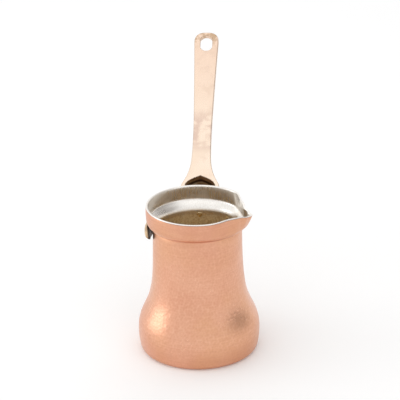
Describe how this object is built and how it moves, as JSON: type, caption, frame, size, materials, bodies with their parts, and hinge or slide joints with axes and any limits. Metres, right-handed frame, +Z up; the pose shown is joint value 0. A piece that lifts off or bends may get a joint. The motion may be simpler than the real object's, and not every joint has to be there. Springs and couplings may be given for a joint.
{
  "type": "turkish coffee pot",
  "caption": "Small coffee pot with a belled base, a collared neck and a pinched spout, on a long flat riveted handle with a hole to hang it by.",
  "frame": {"origin": "middle of the flat base, on the surface that the pot stands on", "axes": "+Z up along the pot's axis, +Y the way the handle points, +X the side that the spout is on"},
  "size_m": [0.08, 0.1901, 0.1684],
  "materials": {
    "copper": "hammered and polished",
    "silver": "bright, finely brushed",
    "polished_brass": "cast and polished"
  },
  "bodies": {
    "root": {"pot_body": "copper", "silver_lining": "silver", "handle": "polished_brass", "rivet_left": "copper", "rivet_right": "copper", "stud_back": "copper", "spacer_left": "copper", "spacer_back": "copper", "spacer_right": "copper"}
  },
  "joints": []
}
